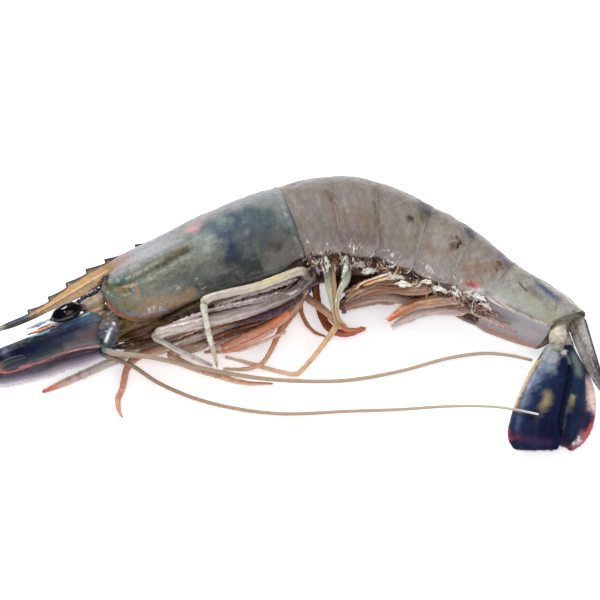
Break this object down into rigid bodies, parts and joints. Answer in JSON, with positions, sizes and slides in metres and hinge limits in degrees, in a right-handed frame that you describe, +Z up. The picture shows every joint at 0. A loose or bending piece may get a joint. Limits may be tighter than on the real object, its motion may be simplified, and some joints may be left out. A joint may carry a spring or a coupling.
{
  "type": "raw tiger prawn",
  "caption": "Whole raw tiger prawn lying on its side: banded shell, toothed rostrum, dark eye, legs, swimmerets, long feelers and a blue tail fan.",
  "frame": {"origin": "middle of the flat spot under the first ring of the abdomen, on the floor", "axes": "+Z up, the prawn's left side; +X towards the tail; +Y towards its back"},
  "size_m": [0.1593, 0.0747, 0.0218],
  "materials": {
    "shell": "wet translucent shell, grey-olive with brown and blue bands",
    "tail_shell": "wet navy blue with a yellow patch and a dark red margin",
    "underside": "wet brown flesh and gills",
    "eye": "black, glossy",
    "scale": "wet blue-grey and teal blade with a red lower edge",
    "pale_limb": "wet pale cream limb",
    "pink_limb": "wet grey-pink limb",
    "orange_limb": "wet pale orange limb",
    "feeler": "tan, slightly glossy"
  },
  "bodies": {
    "root": {"carapace": "shell", "abdomen_1": "shell", "abdomen_2": "shell", "abdomen_3": "shell", "abdomen_4": "shell", "abdomen_5": "shell", "abdomen_6": "shell", "thorax": "underside", "mouthparts": "underside", "telson": "shell", "tail_base_left": "shell", "tail_base_right": "shell", "uropod_left_outer": "tail_shell", "uropod_left_inner": "tail_shell", "uropod_right_outer": "tail_shell", "uropod_right_inner": "tail_shell", "antenna_base_left": "pink_limb", "antenna_base_right": "pink_limb", "eye_stalk_left": "pink_limb", "eye_left": "eye", "eye_stalk_right": "pink_limb", "eye_right": "eye", "antennal_scale_left": "scale", "antennal_scale_right": "scale", "antennule_left": "feeler", "antennule_right": "feeler", "feeler_small": "orange_limb", "feeler_left": "feeler", "feeler_right": "feeler", "maxilliped": "pink_limb", "leg_1_right": "orange_limb", "leg_2_left": "orange_limb", "leg_2_right": "orange_limb", "leg_3_left": "pink_limb", "leg_3_right": "orange_limb", "leg_4_left": "pink_limb", "leg_4_right": "orange_limb", "leg_5_left": "pale_limb", "leg_5_right": "orange_limb", "swimmeret_1_left": "pale_limb", "swimmeret_1_right": "orange_limb", "swimmeret_2_left": "pale_limb", "swimmeret_2_right": "orange_limb", "swimmeret_3_left": "orange_limb", "swimmeret_3_right": "pink_limb", "swimmeret_4_left": "orange_limb", "swimmeret_4_right": "pink_limb", "swimmeret_5_left": "orange_limb", "swimmeret_5_right": "pink_limb"}
  },
  "joints": []
}
